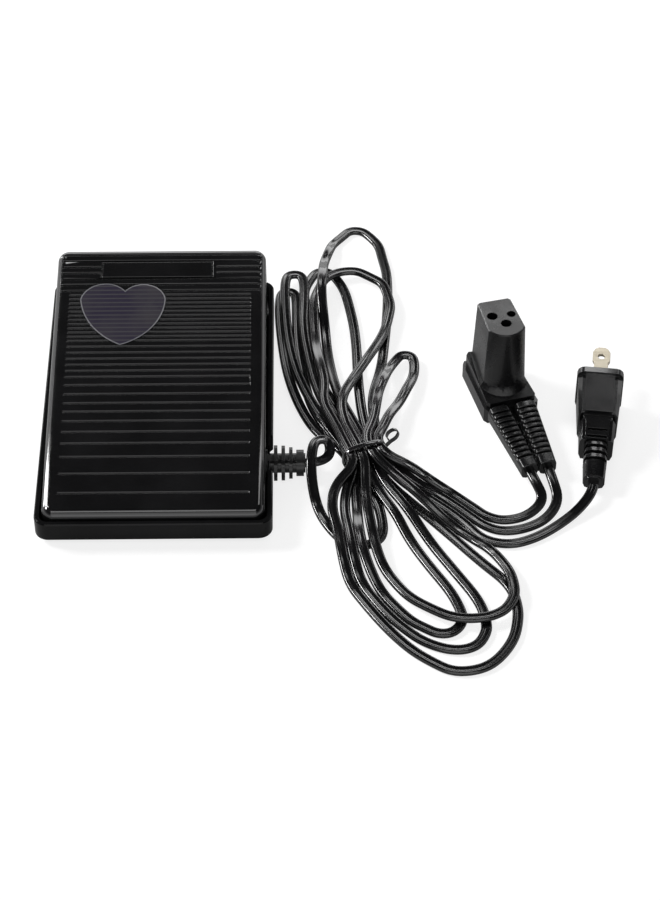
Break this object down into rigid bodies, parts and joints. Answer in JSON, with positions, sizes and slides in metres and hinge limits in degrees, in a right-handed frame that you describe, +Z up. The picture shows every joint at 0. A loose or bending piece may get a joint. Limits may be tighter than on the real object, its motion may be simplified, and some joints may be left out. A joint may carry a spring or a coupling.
{
  "type": "sewing machine foot pedal",
  "caption": "Wedge-shaped foot pedal with a hinged ribbed treadle over a tray, a bundled lead with a three-hole machine connector and a flat-blade mains plug.",
  "frame": {"origin": "centre of the base's footprint, on the floor under its rubber feet", "axes": "+Z up, +Y from the heel to the raised toe end, +X towards the side where the cord comes out"},
  "size_m": [0.2562, 0.2789, 0.045],
  "materials": {
    "tray_black": "moulded ABS, glossy black",
    "cover_black": "moulded ABS, glossy black with a ribbed tread",
    "foot_rubber": "matt black rubber",
    "label_violet": "die-cut translucent violet film, plain",
    "steel": "bright zinc-plated steel",
    "spring_steel": "drawn spring wire",
    "screw_steel": "zinc-plated screws",
    "lever_nylon": "natural nylon",
    "contact_brass": "stamped brass",
    "board": "phenolic paper board",
    "heat_sink_aluminium": "extruded aluminium",
    "component_black": "black moulding",
    "capacitor_yellow": "yellow box film capacitor",
    "choke": "enamelled winding on a drum core",
    "resistor": "lacquered carbon film resistors",
    "terminal_white": "white polyamide",
    "wire": "single insulated wires",
    "relief_black": "soft black PVC",
    "cord_black": "flat black PVC cord",
    "tie_black": "plastic-covered wire tie",
    "connector_black": "moulded black PVC, half matt",
    "boot_black": "soft black PVC, ribbed",
    "plug_black": "moulded black PVC",
    "blade_nickel": "nickel-plated brass blades"
  },
  "bodies": {
    "base": {"base_tray": "tray_black", "rubber_feet": "foot_rubber", "hinge_rod": "steel", "stop_brackets": "steel", "return_spring": "spring_steel", "lever_pin": "steel", "resistance_plate": "board", "circuit_board": "board", "pan_screws": "screw_steel", "heat_sink": "heat_sink_aluminium", "triac": "component_black", "film_capacitor": "capacitor_yellow", "suppression_choke": "choke", "resistors": "resistor", "terminal_block": "terminal_white", "terminal_screws": "screw_steel", "cord_clamp": "component_black", "strain_relief": "relief_black", "lead_tail": "cord_black", "inner_wires": "wire", "pedal_lead": "cord_black", "first_hank": "cord_black", "second_hank": "cord_black", "machine_lead": "cord_black", "machine_return": "cord_black", "mains_lead": "cord_black", "cord_tie": "tie_black", "connector_body": "connector_black", "contact_sleeves": "contact_brass", "boot_left": "boot_black", "boot_right": "boot_black", "plug_body": "plug_black", "plug_relief": "boot_black", "plug_blades": "blade_nickel"},
    "treadle": {"treadle_cover": "cover_black", "heart_label": "label_violet"},
    "lever": {"control_lever": "lever_nylon", "wiper_contact": "contact_brass"}
  },
  "joints": [
    {"name": "treadle_hinge", "type": "hinge", "parent": "base", "child": "treadle", "pos_m": [0, -0.066, 0.009], "axis": [1, 0, 0], "range_deg": [-3.1, 0], "stiffness_Nm_per_rad": 14, "springref_deg": 3.72, "deforming": ["return_spring"]},
    {"name": "lever_pivot", "type": "hinge", "parent": "base", "child": "lever", "pos_m": [0.0131, 0.046, 0.01], "axis": [1, 0, 0], "range_deg": [0, 11.2]}
  ],
  "couplings": [
    {"joint": "lever_pivot", "follows": "treadle_hinge", "ratio": -3.6}
  ]
}
